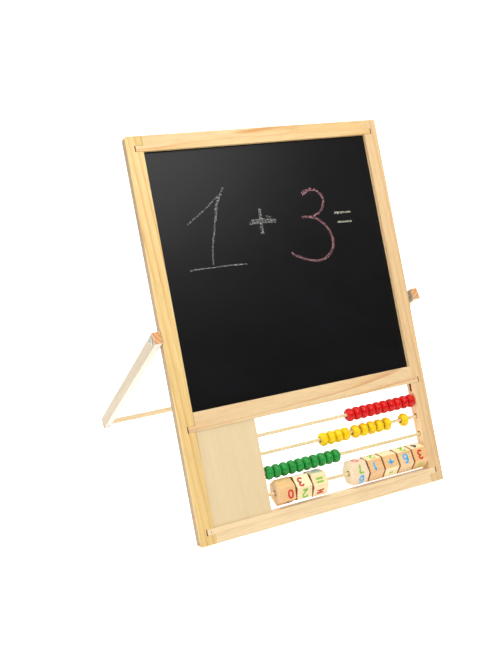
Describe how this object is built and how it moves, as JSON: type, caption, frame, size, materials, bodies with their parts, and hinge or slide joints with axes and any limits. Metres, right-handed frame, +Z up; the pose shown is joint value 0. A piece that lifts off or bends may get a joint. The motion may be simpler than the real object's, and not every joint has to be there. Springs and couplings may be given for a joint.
{
  "type": "tabletop easel",
  "caption": "Small folding tabletop easel: wooden frame with a chalkboard above an abacus of sliding beads and turning number blocks, propped by a hinged U-shaped rear stand.",
  "frame": {"origin": "centre of the bounding box's underside, on the table", "axes": "+Z up, +X to the right seen from the front, the chalkboard faces -Y and leans back"},
  "size_m": [0.3436, 0.3238, 0.4047],
  "materials": {
    "pine": "clear satin varnish",
    "chalkboard": "matt black chalkboard paint on fibreboard",
    "birch_plywood": "clear satin varnish",
    "dowel": "plain sanded",
    "beech": "plain sanded, printed figures",
    "bead_red": "satin paint",
    "bead_yellow": "satin paint",
    "bead_green": "satin paint",
    "zinc_screw": "zinc plated"
  },
  "bodies": {
    "frame": {"left_stile": "pine", "right_stile": "pine", "top_rail": "pine", "middle_rail": "pine", "bottom_rail": "pine", "chalkboard": "chalkboard", "cover_panel": "birch_plywood", "divider_post": "pine", "rod_red": "dowel", "rod_yellow": "dowel", "rod_green": "dowel", "rod_blocks": "dowel", "pivot_screw_left": "zinc_screw", "pivot_screw_right": "zinc_screw"},
    "stand": {"stand_leg_left": "pine", "stand_leg_right": "pine", "stand_crossbar": "pine"},
    "bead_red_01": {"bead_red_01": "bead_red"},
    "bead_red_02": {"bead_red_02": "bead_red"},
    "bead_red_03": {"bead_red_03": "bead_red"},
    "bead_red_04": {"bead_red_04": "bead_red"},
    "bead_red_05": {"bead_red_05": "bead_red"},
    "bead_red_06": {"bead_red_06": "bead_red"},
    "bead_red_07": {"bead_red_07": "bead_red"},
    "bead_red_08": {"bead_red_08": "bead_red"},
    "bead_red_09": {"bead_red_09": "bead_red"},
    "bead_red_10": {"bead_red_10": "bead_red"},
    "bead_yellow_01": {"bead_yellow_01": "bead_yellow"},
    "bead_yellow_02": {"bead_yellow_02": "bead_yellow"},
    "bead_yellow_03": {"bead_yellow_03": "bead_yellow"},
    "bead_yellow_04": {"bead_yellow_04": "bead_yellow"},
    "bead_yellow_05": {"bead_yellow_05": "bead_yellow"},
    "bead_yellow_06": {"bead_yellow_06": "bead_yellow"},
    "bead_yellow_07": {"bead_yellow_07": "bead_yellow"},
    "bead_yellow_08": {"bead_yellow_08": "bead_yellow"},
    "bead_yellow_09": {"bead_yellow_09": "bead_yellow"},
    "bead_yellow_10": {"bead_yellow_10": "bead_yellow"},
    "bead_green_01": {"bead_green_01": "bead_green"},
    "bead_green_02": {"bead_green_02": "bead_green"},
    "bead_green_03": {"bead_green_03": "bead_green"},
    "bead_green_04": {"bead_green_04": "bead_green"},
    "bead_green_05": {"bead_green_05": "bead_green"},
    "bead_green_06": {"bead_green_06": "bead_green"},
    "bead_green_07": {"bead_green_07": "bead_green"},
    "bead_green_08": {"bead_green_08": "bead_green"},
    "bead_green_09": {"bead_green_09": "bead_green"},
    "bead_green_10": {"bead_green_10": "bead_green"},
    "number_block_1": {"number_block_1": "beech"},
    "number_block_2": {"number_block_2": "beech"},
    "number_block_3": {"number_block_3": "beech"},
    "number_block_4": {"number_block_4": "beech"},
    "number_block_5": {"number_block_5": "beech"},
    "number_block_6": {"number_block_6": "beech"},
    "number_block_7": {"number_block_7": "beech"},
    "number_block_8": {"number_block_8": "beech"}
  },
  "joints": [
    {"name": "stand_fold", "type": "hinge", "parent": "frame", "child": "stand", "pos_m": [0, -0.06153, 0.20461], "axis": [1, 0, 0], "range_deg": [-72.64, 30]},
    {"name": "spin_block_1", "type": "hinge", "parent": "frame", "child": "number_block_1", "pos_m": [-0.0529, -0.14111, 0.03395], "axis": [1, 0, 0], "continuous": true},
    {"name": "spin_block_2", "type": "hinge", "parent": "frame", "child": "number_block_2", "pos_m": [-0.0323, -0.14111, 0.03395], "axis": [1, 0, 0], "continuous": true},
    {"name": "spin_block_3", "type": "hinge", "parent": "frame", "child": "number_block_3", "pos_m": [-0.0117, -0.14111, 0.03395], "axis": [1, 0, 0], "continuous": true},
    {"name": "spin_block_4", "type": "hinge", "parent": "frame", "child": "number_block_4", "pos_m": [0.042, -0.14111, 0.03395], "axis": [1, 0, 0], "continuous": true},
    {"name": "spin_block_5", "type": "hinge", "parent": "frame", "child": "number_block_5", "pos_m": [0.0626, -0.14111, 0.03395], "axis": [1, 0, 0], "continuous": true},
    {"name": "spin_block_6", "type": "hinge", "parent": "frame", "child": "number_block_6", "pos_m": [0.0832, -0.14111, 0.03395], "axis": [1, 0, 0], "continuous": true},
    {"name": "spin_block_7", "type": "hinge", "parent": "frame", "child": "number_block_7", "pos_m": [0.1038, -0.14111, 0.03395], "axis": [1, 0, 0], "continuous": true},
    {"name": "spin_block_8", "type": "hinge", "parent": "frame", "child": "number_block_8", "pos_m": [0.1244, -0.14111, 0.03395], "axis": [1, 0, 0], "continuous": true},
    {"name": "slide_red_10", "type": "slide", "parent": "frame", "child": "bead_red_10", "axis": [1, 0, 0], "range_m": [-0.0115, 0]},
    {"name": "slide_red_09", "type": "slide", "parent": "bead_red_10", "child": "bead_red_09", "axis": [1, 0, 0], "range_m": [-0.0115, 0]},
    {"name": "slide_red_08", "type": "slide", "parent": "bead_red_09", "child": "bead_red_08", "axis": [1, 0, 0], "range_m": [-0.0115, 0]},
    {"name": "slide_red_07", "type": "slide", "parent": "bead_red_08", "child": "bead_red_07", "axis": [1, 0, 0], "range_m": [-0.0115, 0]},
    {"name": "slide_red_06", "type": "slide", "parent": "bead_red_07", "child": "bead_red_06", "axis": [1, 0, 0], "range_m": [-0.0115, 0]},
    {"name": "slide_red_05", "type": "slide", "parent": "bead_red_06", "child": "bead_red_05", "axis": [1, 0, 0], "range_m": [-0.0115, 0]},
    {"name": "slide_red_04", "type": "slide", "parent": "bead_red_05", "child": "bead_red_04", "axis": [1, 0, 0], "range_m": [-0.0115, 0]},
    {"name": "slide_red_03", "type": "slide", "parent": "bead_red_04", "child": "bead_red_03", "axis": [1, 0, 0], "range_m": [-0.0115, 0]},
    {"name": "slide_red_02", "type": "slide", "parent": "bead_red_03", "child": "bead_red_02", "axis": [1, 0, 0], "range_m": [-0.0115, 0]},
    {"name": "slide_red_01", "type": "slide", "parent": "bead_red_02", "child": "bead_red_01", "axis": [1, 0, 0], "range_m": [-0.0115, 0]},
    {"name": "slide_green_01", "type": "slide", "parent": "frame", "child": "bead_green_01", "axis": [1, 0, 0], "range_m": [0, 0.0112]},
    {"name": "slide_green_02", "type": "slide", "parent": "bead_green_01", "child": "bead_green_02", "axis": [1, 0, 0], "range_m": [0, 0.0112]},
    {"name": "slide_green_03", "type": "slide", "parent": "bead_green_02", "child": "bead_green_03", "axis": [1, 0, 0], "range_m": [0, 0.0112]},
    {"name": "slide_green_04", "type": "slide", "parent": "bead_green_03", "child": "bead_green_04", "axis": [1, 0, 0], "range_m": [0, 0.0112]},
    {"name": "slide_green_05", "type": "slide", "parent": "bead_green_04", "child": "bead_green_05", "axis": [1, 0, 0], "range_m": [0, 0.0112]},
    {"name": "slide_green_06", "type": "slide", "parent": "bead_green_05", "child": "bead_green_06", "axis": [1, 0, 0], "range_m": [0, 0.0112]},
    {"name": "slide_green_07", "type": "slide", "parent": "bead_green_06", "child": "bead_green_07", "axis": [1, 0, 0], "range_m": [0, 0.0112]},
    {"name": "slide_green_08", "type": "slide", "parent": "bead_green_07", "child": "bead_green_08", "axis": [1, 0, 0], "range_m": [0, 0.0112]},
    {"name": "slide_green_09", "type": "slide", "parent": "bead_green_08", "child": "bead_green_09", "axis": [1, 0, 0], "range_m": [0, 0.0112]},
    {"name": "slide_green_10", "type": "slide", "parent": "bead_green_09", "child": "bead_green_10", "axis": [1, 0, 0], "range_m": [0, 0.0112]},
    {"name": "slide_yellow_04", "type": "slide", "parent": "frame", "child": "bead_yellow_04", "axis": [1, 0, 0], "range_m": [-0.019, 0]},
    {"name": "slide_yellow_03", "type": "slide", "parent": "bead_yellow_04", "child": "bead_yellow_03", "axis": [1, 0, 0], "range_m": [-0.019, 0]},
    {"name": "slide_yellow_02", "type": "slide", "parent": "bead_yellow_03", "child": "bead_yellow_02", "axis": [1, 0, 0], "range_m": [-0.019, 0]},
    {"name": "slide_yellow_01", "type": "slide", "parent": "bead_yellow_02", "child": "bead_yellow_01", "axis": [1, 0, 0], "range_m": [-0.019, 0]},
    {"name": "slide_yellow_05", "type": "slide", "parent": "frame", "child": "bead_yellow_05", "axis": [1, 0, 0], "range_m": [0, 0.0029]},
    {"name": "slide_yellow_06", "type": "slide", "parent": "bead_yellow_05", "child": "bead_yellow_06", "axis": [1, 0, 0], "range_m": [0, 0.0029]},
    {"name": "slide_yellow_07", "type": "slide", "parent": "bead_yellow_06", "child": "bead_yellow_07", "axis": [1, 0, 0], "range_m": [0, 0.0029]},
    {"name": "slide_yellow_08", "type": "slide", "parent": "bead_yellow_07", "child": "bead_yellow_08", "axis": [1, 0, 0], "range_m": [0, 0.0029]},
    {"name": "slide_yellow_09", "type": "slide", "parent": "bead_yellow_08", "child": "bead_yellow_09", "axis": [1, 0, 0], "range_m": [0, 0.0029]},
    {"name": "slide_yellow_10", "type": "slide", "parent": "frame", "child": "bead_yellow_10", "axis": [1, 0, 0], "range_m": [0, 0.0133]}
  ]
}
